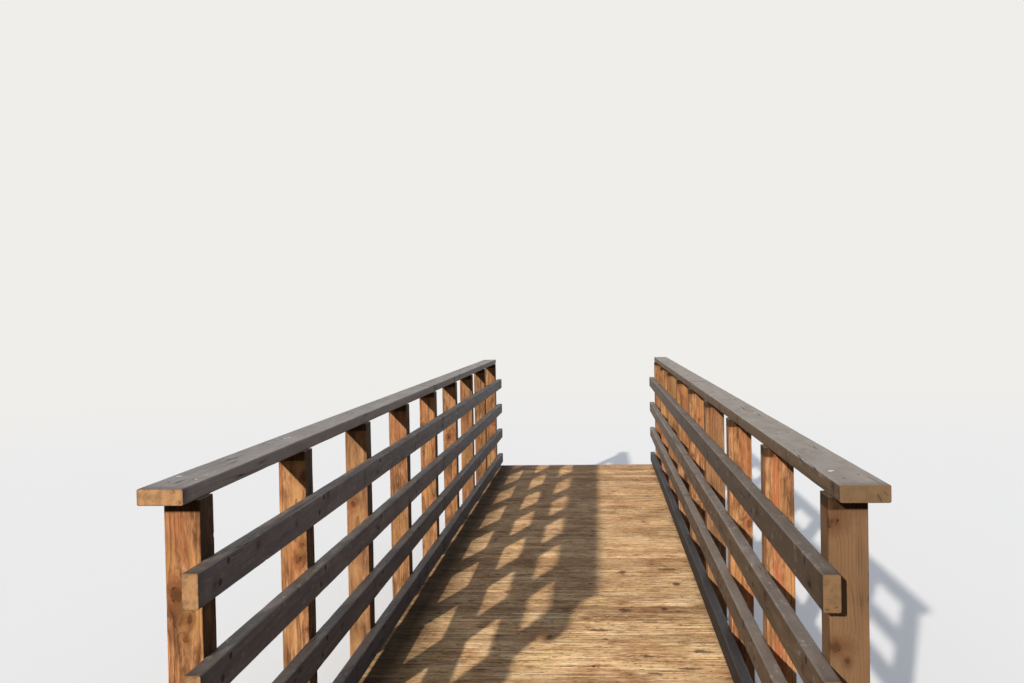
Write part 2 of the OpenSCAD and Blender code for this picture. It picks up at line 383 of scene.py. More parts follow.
def timber_finish(name, along, lit_tones, painted_shade_tones, top, worn, brown, top_brown="#94826E", ring_gap=7.0,
                  ring_depth=0.25, wander=20.0, knots=0.5, marked_knots=(), top_share=0.8, wear=0.6,
                  cracks=0.9, relief=0.6, roughness=0.75, streak=(1.8, 42.0), contrast=0.11, spread=0.15,
                  scuffs=0.0, warm=0.0, ribs=False, marks=(), cap_shadow_from=None, screwed=False, dyed=False):
    """Treated softwood: stain in streaks, rings, knots, cracks, bleached and grey where the weather falls.

    along is the axis that its grain runs along. The first two sets of three tones, each from dark to light,
    are lit tones for the sides that face the sun, the key light, and painted shade for the sides that don't;
    top is two greys for the upper faces. ribs is for grooved boards, and marks are the dark marks on them.
    Right under the caps, above the height given for it, the stain is left unbleached as a painted shadow of
    the cap.
    screwed puts marks round the rails' screws, and dyed a run of red dye on the near face.
    """
    material, add = new_finish(name)
    grain, section, lot = (add("Attribute", out="Vector", attribute_name=layer) for layer in LAYERS)
    here = add("TexCoord", out="Object")
    normal = add("NewGeometry", out="Normal")
    lot, section, inside, place, facing = (
        add(PARTS, (vector,)).node.outputs
        for vector in (lot, section, add("VectorMath ABSOLUTE", (section,)), here, normal)
    )
    log = read_log(add, grain, here, ring_gap, knots, wander, along, marked_knots)
    fields, tone = stain_fields(add, log, section, streak, ribs)
    dark, pale = 0.5 - contrast, 0.5 + contrast

    # The sun fades the stain on the sides that it reaches, and heartwood shows through as salmon and straw.
    # These lit tones go on the sides that face the key light, and darker painted shade tones on the others.
    lit_colour = add(RAMP, (tone,), stops=((dark, lit_tones[0]), (pale, lit_tones[2]), (0.50, lit_tones[1])))
    space = add(STRETCH, (log["point"], (3.0, 15.0, 15.0)))
    heartwood = add(NOISE, {"Vector": space, "Scale": 1.0, "Detail": 3.0}, out="Color")
    heartwood = add(PARTS, (heartwood,)).node.outputs
    salmon, straw = (add(MAP, (heartwood[axis], 0.47, 0.64, 0.0, warm)) for axis in "XY")
    for share, coat in ((salmon, "#A5653E"), (straw, "#B88852"), (lot["Y"], brown)):
        lit_colour = add(MIX, {"Factor": share, "A": lit_colour, "B": coat}, data_type="RGBA")
    painted_shade_colour = add(RAMP, (tone,), stops=((dark, painted_shade_tones[0]), (pale, painted_shade_tones[2]), (0.50, painted_shade_tones[1])))
    lit_and_bleached = lit_and_bleached_share(add, fields, place, normal, cap_shadow_from)

    # Rain and light turn the upper faces grey, in patches.
    greying = add(MAP, (facing["Z"], 0.3, 0.9, 0.0, top_share), **SMOOTH)
    patchy = add(MAP, (fields["blotches"], 0.36, 0.62, 0.72, 1.0))
    greying = add(TIMES, (greying, patchy))
    greys = add(RAMP, (tone,), stops=((dark, top[0]), (pale, top[1])))
    browned = add(TIMES, (lot["Y"], 0.7))
    greys = add(MIX, {"Factor": browned, "A": greys, "B": top_brown}, data_type="RGBA")

    # Rubbed long edges are paler, most of all on the upper side, where the pale line is also a painted
    # highlight of a rounded edge; boots and hands leave scuffs 20 to 60 mm long, most of all above.
    edge = add(LEAST, (inside["X"], inside["Y"]))
    edge = add(MAP, (edge, 0.87, 0.98, 0.0, wear), **SMOOTH)
    rub_and_highlight = add(MAP, (fields["streaks"], 0.42, 0.60, 0.25, 1.0))
    above = add(MAP, (facing["Z"], -0.5, 0.35, 0.25, 1.0))
    edge = add(TIMES, (edge, rub_and_highlight))
    edge = add(TIMES, (edge, above))
    scuff = add(MAP, (fields["silt"], 0.58, 0.70, 0.0, scuffs))
    scuff = add(TIMES, (scuff, above))

    # The last 60 mm before a sawn end drinks water and goes darker.
    soaked = add(MAP, (inside["Z"], 0.0, 0.06, 0.5, 0.0))
    soaked = add(TIMES, (soaked, patchy))

    # Drying cracks: hair lines along the grain that open and close.
    line = add(MINUS, (fields["hairs"], 0.5))
    line = add(SIZE, (line,))
    line = add(MAP, (line, 0.0, 0.011, cracks, 0.0))
    opened = add(MAP, (fields["openings"], 0.53, 0.60))
    crack = add(TIMES, (line, opened))

    # Knots are redder and darker than the wood about them. Rings hardly show on the browner timbers.
    ring_share = add(MAP, (lot["Y"], 0.0, 1.0, ring_depth, ring_depth * 0.35))
    rings, near_knot, heart, damped = (
        add(TIMES, (field, share))
        for field, share in (
            (log["late"], ring_share), (log["halo"], 0.50), (log["knot"], 0.42), (lot["Z"], 0.8)
        )
    )
    # The coats that make the colour, from the wood outwards.
    coats = [(lit_and_bleached, lit_colour, "MIX"), (rings, "#3A2416", "MULTIPLY"), (near_knot, "#9A6038", "MULTIPLY"),
             (heart, "#4A2A18", "MULTIPLY"), (log["bark"], "#1C120C", "MIX"), (greying, greys, "MIX"),
             (edge, worn, "MIX"), (scuff, "#B4ABA0", "MIX")]
    if ribs:
        coats += trodden_coats(add, fields, here, place, section, facing, marks)
    else:
        # Low timbers are splashed and damp, with a little green on them.
        low = add(MAP, (place["Z"], 0.50, 0.14, 0.0, 0.75))
        damp = add(MAP, (fields["blotches"], 0.40, 0.60))
        coats.append((add(TIMES, (low, damp)), "#5B5038", "MIX"))
    if screwed:
        coats.append(tannin_and_hole_shade_coat(add, fields, place, section, facing))
    coats += [(soaked, "#6A5442", "MULTIPLY"), (crack, "#140E0A", "MIX"), (damped, "#26272D", "MIX")]
    if dyed:
        coats.append(dye_coat(add, log, place, facing))
    colour = painted_shade_colour
    for share, coat, how in coats:
        colour = add(MIX, {"Factor": share, "A": colour, "B": coat}, data_type="RGBA", blend_type=how)

    # Each timber came from its own log and took the treatment in its own way.
    value = add(MAP, (lot["X"], 0.0, 1.0, 1.0 - spread, 1.0 + spread))
    colour = add("HueSaturation", {"Value": value, "Color": colour})

    height = 0.0
    for field, share in ((log["late"], 1.0), (fields["streaks"], 0.8), (fields["fibres"], 0.7),
                         (crack, -2.5), (log["knot"], 0.6)):
        height = add(TIMES_PLUS, (field, share, height))
    bump = add("Bump", {"Height": height, "Strength": relief, "Distance": 1.0 * MM})
    rough = add(MAP, (fields["fibres"], 0.3, 0.7, roughness - 0.08, roughness + 0.08))
    shader = add("BsdfPrincipled", {"Base Color": colour, "Roughness": rough, "IOR": 1.5,
                                    "Specular IOR Level": 0.07, "Normal": bump})
    add("OutputMaterial", {"Surface": shader})
    return material


def sawn_end(name, pale, dark, brown, rim):
    """End grain from the saw: rings about the pith, star cracks, and a rim where the stain soaked in."""
    material, add = new_finish(name)
    grain, section, lot = (add("Attribute", out="Vector", attribute_name=layer) for layer in LAYERS)
    lot = add(PARTS, (lot,)).node.outputs
    ripple = add(NOISE, {"Vector": grain, "Scale": 25.0, "Detail": 3.0}, out="Color")
    point = add(STRETCH_PLUS, (ripple, (0.0, 0.006, 0.006), grain))
    flat = add(STRETCH, (point, (0.0, 1.0, 1.0)))
    radius = add(LENGTH, (flat,))
    years = add(TIMES, (radius, 1.0 / END_RING_GAP))
    late = add("Math FRACT", (years,))
    late = add("Math POWER", (late, 1.8))
    ringed = add(TIMES, (late, 0.40))
    soak = add(NOISE, {"Vector": grain, "Scale": 38.0, "Detail": 4.0})
    patch = add(MAP, (soak, 0.40, 0.64, 0.0, 0.42))
    weathered = add(TIMES, (lot["Y"], 0.85))
    specks = add(NOISE, {"Vector": grain, "Scale": 190.0, "Detail": 2.0})
    speck = add(MAP, (specks, 0.60, 0.70, 0.0, 0.6))

    # Shakes run from the pith outwards.
    place = add(PARTS, (point,)).node.outputs
    angle = add("Math ARCTAN2", (place["Z"], place["Y"]))
    rays = add(NOISE, {"W": angle, "Scale": 9.0, "Detail": 0.0}, noise_dimensions="1D")
    rays = add(MINUS, (rays, 0.5))
    rays = add(SIZE, (rays,))
    shake = add(MAP, (rays, 0.0, 0.020, 0.9, 0.0))
    where = add(MAP, (soak, 0.47, 0.56))
    shake = add(TIMES, (shake, where))

    inside = add(PARTS, (add("VectorMath ABSOLUTE", (section,)),)).node.outputs
    edge = add(MOST, (inside["X"], inside["Y"]))
    edge = add(TIMES_PLUS, (soak, 0.4, edge))
    edge = add(MAP, (edge, 1.0, 1.26, 0.0, 0.85))
    colour = linear(pale)
    for share, coat in ((ringed, dark), (patch, brown), (weathered, brown), (speck, rim), (shake, "#1C120A"),
                        (edge, rim)):
        colour = add(MIX, {"Factor": share, "A": colour, "B": coat}, data_type="RGBA")
    value = add(MAP, (lot["X"], 0.0, 1.0, 0.88, 1.12))
    colour = add("HueSaturation", {"Value": value, "Color": colour})
    # The saw leaves slanting lines across the end, drawn 3 to 8 mm apart so that they show.
    teeth = add("TexWave", {"Vector": section, "Scale": 4.0, "Distortion": 2.0, "Detail": 2.0}, out="Fac",
                bands_direction="DIAGONAL")
    height = add(TIMES_PLUS, (teeth, 0.4, late))
    height = add(TIMES_PLUS, (shake, -2.0, height))
    bump = add("Bump", {"Height": height, "Strength": 0.5, "Distance": 0.8 * MM})
    shader = add("BsdfPrincipled", {"Base Color": colour, "Roughness": 0.85, "IOR": 1.5,
                                    "Specular IOR Level": 0.2, "Normal": bump})
    add("OutputMaterial", {"Surface": shader})
    return material


# Pressure treated pine posts, fine sawn: the stain has bleached to orange where the sun reaches.
# The second three tones are painted shade for the sides turned from the key light.
POST_TONES = (("#5F3F28", "#916442", "#B4855B"), ("#2C1C0C", "#3C2714", "#50371F"), ("#7A7068", "#9A9088"),
              "#A07048")
POST_LOOK = {
    "brown": "#73573E", "ring_gap": 9.0, "ring_depth": 0.75, "wander": 42.0, "wear": 0.25, "spread": 0.30,
    # From 1.506 m up, right under the caps, the posts keep the dark tones: a painted shadow of the cap.
    "streak": (9.0, 50.0), "contrast": 0.074, "warm": 0.5, "cracks": 0.45, "cap_shadow_from": 1.506,
    "marked_knots": ((-0.897, -4.05, 1.285, 0.015), (-0.873, -4.05, 1.165, 0.006),
                     (-0.845, -3.05, 1.20, 0.008), (0.868, -4.05, 1.12, 0.006)),
}
post_pine = timber_finish("fine_sawn_treated_pine_posts", Z, *POST_TONES, **POST_LOOK)
dyed_pine = timber_finish("fine_sawn_treated_pine_with_marking_dye", Z, *POST_TONES, dyed=True, **POST_LOOK)
# The rails were stained dark brown, with edges worn by rubbing. The sides turned from the key light take
# painted shade tones, slate grey, and those turned to it take warmer lit tones.
rail_pine = timber_finish(
    "planed_dark_stained_pine_rails", Y, ("#44362A", "#5E4B38", "#7E6850"),
    ("#514B4A", "#6A6261", "#817977"), ("#625952", "#887D75"), "#968A7E", brown="#625041", ring_depth=0.22,
    knots=0.35, wear=0.85, spread=0.30, roughness=0.62, contrast=0.15, scuffs=0.5, streak=(1.8, 26.0),
    marked_knots=((-0.78, -3.717, 1.348, 0.007), (-0.78, -3.32, 1.331, 0.006)), screwed=True,
)
# Cap planks lie flat in the weather and are the greyest timber. Their sides turned from the key light take
# paler grey tones: painted shade, with the sky's sheen painted in.
cap_pine = timber_finish(
    "weathered_pine_cap_planks", Y, ("#5A4A3E", "#6E5C4B", "#82705C"), ("#766C64", "#8D827B", "#A1968E"),
    ("#766F69", "#978F88"), "#A59B90", brown="#6A553F", ring_depth=0.20, knots=0.3, wear=0.7, spread=0.04,
    top_share=0.95, roughness=0.68, contrast=0.18, scuffs=0.4, streak=(2.4, 24.0), top_brown="#9B8F80",
)
# Grooved deck boards, tan where feet keep them clean, brown where damp stays.
BOARD_TONES = ("#8E6A3E", "#EABE88", "#FFE6B6")
DECK_MARKS = ((0.235, -1.612, 0.068, 0.017), (0.262, -1.756, 0.014, 0.013), (0.445, -2.003, 0.027, 0.017),
              (0.205, -2.146, 0.008, 0.012), (0.470, -2.235, 0.034, 0.014), (0.365, -1.260, 0.030, 0.030),
              (0.575, -1.236, 0.018, 0.026), (0.640, -0.361, 0.070, 0.024), (0.370, -0.445, 0.024, 0.034),
              (0.675, -0.719, 0.020, 0.040), (0.700, -1.930, 0.045, 0.022), (0.630, -2.170, 0.056, 0.012))
deck_pine = timber_finish(
    "grooved_treated_pine_boards", X, BOARD_TONES, BOARD_TONES, ("#D8B080", "#FFE0B4"), "#E0BC8E",
    brown="#AE835A", ring_gap=9.0, ring_depth=0.30, wear=0.0, top_share=0.3, streak=(3.0, 60.0),
    contrast=0.085, spread=0.13, ribs=True, cracks=0.7, warm=0.1, top_brown="#C8A27A", wander=6.0,
    marks=DECK_MARKS,
)
# Beams and blocks under the deck, rough from the saw and out of the sun. Their sides turned from the key
# light take darker, painted shade tones.
beam_pine = timber_finish(
    "sawn_treated_pine_beams", Y, ("#5E422C", "#87623F", "#A27C55"), ("#503A28", "#6E5038", "#886A4A"),
    ("#6E6458", "#8A8072"), "#A07C56", brown="#6A5038", ring_gap=8.0, ring_depth=0.35, wear=0.3, spread=0.10,
    relief=0.9,
)
# Bearers under the ends, always damp: dark brown. Their sides turned from the key light take darker,
# painted shade tones.
sill_pine = timber_finish(
    "damp_sawn_pine_sills", X, ("#3E3024", "#574434", "#6C5743"), ("#33281E", "#4A3A2C", "#5C4A39"),
    ("#5C5446", "#76705E"), "#705C46", brown="#4A3A2C", ring_gap=9.0, ring_depth=0.3, wear=0.35, spread=0.06,
    relief=1.0, roughness=0.82,
)
pale_end = sawn_end("sawn_pine_ends", "#B0845A", "#8E643F", "#584732", "#75573C")
dark_end = sawn_end("sawn_treated_pine_ends", "#8E6A48", "#694A31", "#54402E", "#4A3828")


# Timbers

def as_mesh(bm, name):
    mesh = bpy.data.meshes.new(name)
    bm.to_mesh(mesh)
    bm.free()
    return mesh


def ease(bm, edges, offset, segments):
    """Rounds edges off, or cuts them off with one segment."""
    bmesh.ops.bevel(bm, geom=edges, offset=offset, offset_type="OFFSET", segments=segments, profile=0.5,
                    affect="EDGES", material=-1)


def cut(bm, point, square):
    """Cuts a loop of edges round the shape, in the plane through point that square stands on."""
    bmesh.ops.bisect_plane(bm, geom=bm.verts[:] + bm.edges[:] + bm.faces[:], plane_co=point, plane_no=square)


def run_along(edge, axis):
    return abs((edge.verts[0].co - edge.verts[1].co)[axis])


def draw_out(bm, faces, way):
    """Draws faces out into a solid, and gives the points at its new end."""
    made = bmesh.ops.extrude_face_region(bm, geom=faces)
    moved = [v for v in made["geom"] if isinstance(v, bmesh.types.BMVert)]
    bmesh.ops.translate(bm, verts=moved, vec=way)
    return moved


def new_timbers():
    bm = bmesh.new()
    for name in LAYERS:
        bm.verts.layers.float_vector.new(name)
    return bm


def add_timber(bm, low, high, along, arris, rng, chips, tone=None, brown=0.0, damp=0.0, step=70 * MM,
               edge_wear=1.0 * MM, cup=0.0):
    """Adds a timber in the box from low to high: long edges rounded and worn, a few chips, ends eased.

    A plank that lies flat is cupped: its upper face is hollow by cup between its edges.
    """
    size = high - low
    half = size / 2
    middle = (low + high) / 2
    one = bmesh.new()
    bmesh.ops.create_cube(one, size=1.0, matrix=Matrix.Translation(middle) @ Matrix.Diagonal((*size, 1.0)))
    ease(one, [e for e in one.edges if run_along(e, along) > half[along]], arris, 3)
    ease(one, [e for e in one.edges if run_along(e, along) < half[along]], 1.0 * MM, 1)

    across, deep = other_axes(along)
    # A loop beside each rounded edge keeps wear and chips to the edge, and the faces flat.
    for axis in (across, deep):
        for side in (-1, 1):
            beside = Vector([side * (half[axis] - 2.2 * arris) if k == axis else 0.0 for k in (X, Y, Z)])
            cut(one, middle + beside, beside)
    knocks = [(rng.uniform(0.05, 0.95), rng.choice((-1, 1)), rng.choice((-1, 1)), rng.uniform(1.0, 2.6) * MM,
               rng.uniform(8.0, 30.0) * MM) for _ in range(chips)]
    steps = round(size[along] / step)
    places = [low[along] + size[along] * i / steps for i in range(1, steps)]
    for share, _, _, _, length in knocks:
        at = low[along] + size[along] * share
        places += [at - length / 2, at, at + length / 2]
    square = Vector([1.0 if axis == along else 0.0 for axis in (X, Y, Z)])
    for place in places:
        cut(one, square * place, square)

    shift = rng.uniform(0.0, 90.0)
    for vert in one.verts:
        local = vert.co - middle
        corner = (half[across] - abs(local[across]), half[deep] - abs(local[deep]))
        if max(corner) > arris * 1.05:
            if corner[0] > arris * 2.0 and local.z > 0.0:
                vert.co.z -= cup
            continue
        sides = (math.copysign(1, local[across]), math.copysign(1, local[deep]))
        where = Vector((local[along] * 9.0 + shift, sides[0] * 3.0, sides[1] * 3.0))
        push = max(0.0, noise.noise(where)) * edge_wear
        for share, side_a, side_d, depth, _ in knocks:
            at = size[along] * (share - 0.5)
            if (side_a, side_d) == sides and abs(local[along] - at) < 1e-5:
                push += depth
        vert.co[across] -= sides[0] * push
        vert.co[deep] -= sides[1] * push

    for face in one.faces:
        face.smooth = abs(face.normal[along]) < 0.5
    for edge in one.edges:
        edge.smooth = len({face.smooth for face in edge.link_faces}) == 1
    pith, start = find_pith(rng, 25.0, 80.0), rng.uniform(5.0, 60.0)
    lot = (rng.random() if tone is None else tone, brown, damp)
    mesh = as_mesh(one, "one_timber")
    first = len(bm.verts)
    bm.from_mesh(mesh)
    bpy.data.meshes.remove(mesh)
    write_grain(bm, first, low, high, along, start, pith, lot)


def find_pith(rng, least, most):
    """Where the log's pith lies from the section's middle, least to most mm away, so often outside it."""
    turn = rng.uniform(0.0, math.tau)
    reach = rng.uniform(least, most) * MM
    return (math.cos(turn) * reach, math.sin(turn) * reach)


def write_grain(bm, first, low, high, along, start, pith, lot):
    """Writes where each new point lies in its log and in its section, and its lot."""
    layers = bm.verts.layers.float_vector
    across, deep = other_axes(along)
    half = (high - low) / 2
    middle = (low + high) / 2
    bm.verts.ensure_lookup_table()
    for vert in bm.verts[first:]:
        local = vert.co - middle
        vert[layers["grain"]] = (start + local[along], local[across] - pith[0], local[deep] - pith[1])
        vert[layers["section"]] = (local[across] / half[across], local[deep] / half[deep],
                                   half[along] - abs(local[along]))
        vert[layers["lot"]] = lot


def finish_piece(name, bm, finishes, node=None, along=None):
    """Makes a bmesh a piece of the bridge. Faces square to the grain take the second finish."""
    if along is not None:
        for face in bm.faces:
            face.material_index = 1 if abs(face.normal[along]) > 0.9 else 0
    mesh = as_mesh(bm, name)
    for finish in finishes:
        mesh.materials.append(finish)
    piece = new_object(name, mesh)
    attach(piece, "root")
    if node:
        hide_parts(node)


def timber_piece(node, boxes, along, arris, rng, slot, finishes, **state):
    """Stands for a node with a timber in each of the boxes."""
    bm = new_timbers()
    for low, high in boxes:
        add_timber(bm, low, high, along, arris, rng, **state)
    finish_piece(node + "_timber", bm, finishes, node, along)


def lengths_of(node, along, gap):
    """The node's box as two boxes end to end, with a saw cut or another timber between them."""
    low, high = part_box(node)
    middle = (low[along] + high[along]) / 2
    first_high, second_low = high.copy(), low.copy()
    first_high[along] = middle - gap / 2
    second_low[along] = middle + gap / 2
    return [(low, first_high), (second_low, high)]


BUTT_GAP = 2.0 * MM
CAP_CUP = 0.8 * MM
BEAM_STEP = 0.15
DYED_POST = "right_post_2"
# The lots of single timbers. Rails go from the bottom up.
POST_LIGHT = {"left_post_1": 0.87, "left_post_2": 1.0, "right_post_1": 0.58, "right_post_2": 0.95,
              "right_post_3": 0.9}
POST_BROWN = {"right_post_1": 0.9, "left_post_3": 0.35, "right_post_4": 0.5}
RAIL_LIGHT = {"left": (0.1, 0.0, 0.26, 0.48), "right": (0.0, 0.75, 0.75, 0.12)}
RAIL_BROWN = {"left": (0.0, 0.0, 0.0, 0.0), "right": (0.3, 0.65, 0.2, 0.65)}
RAIL_DAMP = {"left": (0.45, 0.15, 0.0, 0.0), "right": (1.0, 0.1, 0.0, 0.0)}

for s, (side, _) in enumerate(SIDES):
    for number in POSTS:
        node = f"{side}_post_{number}"
        rng = random.Random(100 + 20 * s + number)
        finish = dyed_pine if node == DYED_POST else post_pine
        timber_piece(node, [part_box(node)], Z, 3.0 * MM, rng, "post_timber", [finish, dark_end], chips=2,
                     tone=POST_LIGHT.get(node, rng.uniform(0.3, 0.8)),
                     brown=POST_BROWN.get(node, rng.uniform(0.0, 0.2)))
    for k, level in enumerate(LEVELS):
        node = f"{side}_rail_{level}"
        timber_piece(node, lengths_of(node, Y, BUTT_GAP), Y, 5.0 * MM, random.Random(200 + 10 * s + k),
                     "rail_timber", [rail_pine, pale_end], chips=5, tone=RAIL_LIGHT[side][k],
                     brown=RAIL_BROWN[side][k], damp=RAIL_DAMP[side][k])
    node = f"{side}_cap"
    timber_piece(node, lengths_of(node, Y, BUTT_GAP), Y, 5.0 * MM, random.Random(300 + s), "cap_timber",
                 [cap_pine, pale_end], chips=5, tone=0.95, brown=0.95 * s, cup=CAP_CUP)

for i, node in enumerate(BEAM_NODES):
    timber_piece(node, [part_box(node)], Y, 2.0 * MM, random.Random(400 + i), "beam_timber",
                 [beam_pine, dark_end], step=BEAM_STEP, chips=8)
beam_low, beam_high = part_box("middle_beam")
for number in range(1, 6):
    node = f"blocking_{number}"
    timber_piece(node, lengths_of(node, X, beam_high.x - beam_low.x), X, 2.0 * MM,
                 random.Random(420 + number), "block_timber", [beam_pine, dark_end], step=BEAM_STEP, chips=1)
for i, node in enumerate(("near_bank_sill", "far_bank_sill")):
    timber_piece(node, [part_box(node)], X, 6.0 * MM, random.Random(440 + i), "sill_timber",
                 [sill_pine, dark_end], brown=0.5, edge_wear=2.5 * MM, chips=8)


# Deck boards

BOARDS = 67
BOARD_GAP = 5.0 * MM
GROOVE_WIDTH, GROOVE_FLOOR, GROOVE_DEPTH = 6.0 * MM, 4.0 * MM, 4.0 * MM
deck_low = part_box("deck_near_end")[0]
deck_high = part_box("deck_far_end")[1]
board_pitch = (deck_high.y - deck_low.y + BOARD_GAP) / BOARDS
board_width = board_pitch - BOARD_GAP
board_length = deck_high.x - deck_low.x
board_depth = deck_high.z - deck_low.z
groove_pitch = board_width / (GROOVES + 1)


def grooved_board():
    """A board at the origin, along X: a strip of quads let down at the grooves, then drawn out."""
    stations = [(0.0, 0.0)]
    for i in range(1, GROOVES + 1):
        middle = i * groove_pitch
        stations += [(middle - GROOVE_WIDTH / 2, 0.0), (middle - GROOVE_FLOOR / 2, GROOVE_DEPTH),
                     (middle + GROOVE_FLOOR / 2, GROOVE_DEPTH), (middle + GROOVE_WIDTH / 2, 0.0)]
    stations.append((board_width, 0.0))
    bm = bmesh.new()
    bmesh.ops.create_grid(bm, x_segments=len(stations) - 1, y_segments=1, size=0.5)
    order = sorted(bm.verts, key=lambda v: (round(v.co.x, 4), v.co.y))
    for i, vert in enumerate(order):
        station, upper = divmod(i, 2)
        across, drop = stations[station]
        vert.co = (0.0, across, board_depth - drop if upper else 0.0)
    draw_out(bm, bm.faces[:], (board_length, 0.0, 0.0))
    bmesh.ops.recalc_face_normals(bm, faces=bm.faces[:])
    shoulders = [e for e in bm.edges if run_along(e, X) > board_length / 2
                 and abs(e.verts[0].co.z - board_depth) < 1e-5]
    ease(bm, shoulders, 1.1 * MM, 2)
    for i in range(1, 4):
        cut(bm, (board_length * i / 4, 0.0, 0.0), (1.0, 0.0, 0.0))
    return as_mesh(bm, "one_board")


board = grooved_board()
for quarter, node in enumerate(BOARD_NODES):
    rng = random.Random(500 + quarter)
    bm = new_timbers()
    for i in range(round(quarter * BOARDS / 4), round((quarter + 1) * BOARDS / 4)):
        low = Vector((deck_low.x, deck_low.y + i * board_pitch, deck_low.z))
        high = Vector((deck_high.x, low.y + board_width, deck_high.z))
        first = len(bm.verts)
        bm.from_mesh(board)
        bm.verts.ensure_lookup_table()
        # Boards shrink and tilt a little as they dry, and aren't cut to quite the same length.
        shrink, thin, tilt, left_short, right_short = (
            rng.uniform(least, most) * MM
            for least, most in ((0.0, 1.2), (0.0, 0.9), (-0.5, 0.5), (0.0, 3.0), (0.0, 3.0))
        )
        for vert in bm.verts[first:]:
            side = vert.co.y / board_width * 2 - 1
            lift = vert.co.z / board_depth
            x = vert.co.x
            vert.co.x += left_short if x < 1e-4 else (-right_short if x > board_length - 1e-4 else 0.0)
            vert.co.y -= side * shrink / 2
            vert.co.z -= lift * (thin + abs(tilt) * 0.5 - side * tilt * 0.5)
        bmesh.ops.translate(bm, verts=bm.verts[first:], vec=low)
        pith, start = find_pith(rng, 20.0, 75.0), rng.uniform(5.0, 60.0)
        write_grain(bm, first, low, high, X, start, pith, (rng.random(), 0.7 * rng.random() ** 3, 0.0))
    finish_piece(node + "_boards", bm, [deck_pine, dark_end], node, X)
bpy.data.meshes.remove(board)


# Screws and bolts

# Hot dip galvanised steel, dulled by weather: pale grey with faint spangles about 8 mm across.
zinc, add = new_finish("weathered_galvanised_steel")
spot = add("TexCoord", out="Object")
spangle = add("TexVoronoi", {"Vector": spot, "Scale": 125.0}, out="Color")
spangle = add(PARTS, (spangle,), out="X")
bloom = add(NOISE, {"Vector": spot, "Scale": 60.0, "Detail": 4.0})
colour = add(RAMP, (spangle,), stops=((0.0, "#868A8C"), (1.0, "#A3A7A8")))
rusted = add(MAP, (bloom, 0.56, 0.68, 0.0, 0.7))
colour = add(MIX, {"Factor": rusted, "A": colour, "B": "#7A5238"}, data_type="RGBA")
rough = add(MAP, (bloom, 0.35, 0.65, 0.42, 0.66))
bump = add("Bump", {"Height": bloom, "Strength": 0.3, "Distance": 0.3 * MM})
shader = add("BsdfPrincipled", {"Base Color": colour, "Metallic": 0.85, "Roughness": rough, "Normal": bump})
add("OutputMaterial", {"Surface": shader})

# Coated steel screws: a baked brown coat, nearly black; the black also paints the shade of countersunk
# holes.
coat, add = new_finish("coated_steel_screws_with_painted_hole_shade")
spot = add("TexCoord", out="Object")
bloom = add(NOISE, {"Vector": spot, "Scale": 300.0, "Detail": 3.0})
colour = add(RAMP, (bloom,), stops=((0.35, "#100D0B"), (0.65, "#241C17")))
shader = add("BsdfPrincipled", {"Base Color": colour, "Roughness": 0.8, "Specular IOR Level": 0.2})
add("OutputMaterial", {"Surface": shader})

# Bird lime, dried: chalky white with grey grains.
lime, add = new_finish("dried_bird_lime")
spot = add("TexCoord", out="Object")
grain = add(NOISE, {"Vector": spot, "Scale": 700.0, "Detail": 2.0})
colour = add(RAMP, (grain,), stops=((0.38, "#B9B7AC"), (0.6, "#EFEDE4")))
shader = add("BsdfPrincipled", {"Base Color": colour, "Roughness": 0.9})
add("OutputMaterial", {"Surface": shader})


def screw_head(radius):
    """A countersunk head, face up at the origin: a low rim, a flat, and a six-pointed socket."""
    bm = bmesh.new()
    bmesh.ops.create_circle(bm, cap_ends=True, segments=12, radius=radius)
    face = bm.faces[:]
    bmesh.ops.inset_individual(bm, faces=face, thickness=radius * 0.14, depth=0.25 * MM)
    bmesh.ops.inset_individual(bm, faces=face, thickness=radius * 0.42, depth=0.0)
    for i, vert in enumerate(face[0].verts):
        if i % 2:
            vert.co.xy *= 0.72
    bmesh.ops.inset_individual(bm, faces=face, thickness=radius * 0.03, depth=-1.2 * MM)
    return as_mesh(bm, "one_screw")


def hex_and_washer(height, stub):
    """A washer and a hexagon head or nut on it, face up at the origin, with the bolt's end if it has one."""
    bm = bmesh.new()
    washer = 3.0 * MM
    levels = [(24, 18.5 * MM, 0.0, washer), (6, 11.0 * MM, washer, height)]
    if stub:
        levels.append((16, 6.0 * MM, washer + height, stub))
    for segments, radius, base, thickness in levels:
        made = bmesh.ops.create_circle(bm, cap_ends=True, segments=segments, radius=radius,
                                       matrix=Matrix.Translation((0.0, 0.0, base)))
        under = [f for f in bm.faces if all(v in made["verts"] for v in f.verts)]
        crown = draw_out(bm, under, (0.0, 0.0, thickness))
        rim = [e for e in bm.edges if all(v in crown for v in e.verts)]
        ease(bm, rim, min(1.2 * MM, thickness * 0.25), 2)
    bmesh.ops.recalc_face_normals(bm, faces=bm.faces[:])
    return as_mesh(bm, "one_bolt")


def lime_spot(rng):
    """A splash of bird lime, face up at the origin, 8 to 18 mm across and ragged."""
    bm = bmesh.new()
    radius = rng.uniform(4.0, 9.0) * MM
    bmesh.ops.create_circle(bm, cap_ends=True, segments=14, radius=radius)
    face = bm.faces[:]
    for vert in face[0].verts:
        vert.co.xy *= rng.uniform(0.65, 1.25)
    bmesh.ops.inset_individual(bm, faces=face, thickness=radius * 0.35, depth=0.45 * MM)
    return as_mesh(bm, "one_spot")


def place_all(name, places, finish):
    """One piece from many small shapes: places holds (mesh, point, direction that it faces, turn)."""
    bm = bmesh.new()
    for mesh, point, facing, turn in places:
        first = len(bm.verts)
        bm.from_mesh(mesh)
        bm.verts.ensure_lookup_table()
        lie = UP.rotation_difference(Vector(facing)).to_matrix().to_4x4()
        bmesh.ops.transform(bm, verts=bm.verts[first:],
                            matrix=Matrix.Translation(point) @ lie @ Matrix.Rotation(turn, 4, "Z"))
    finish_piece(name, bm, [finish])


UP = Vector((0.0, 0.0, 1.0))
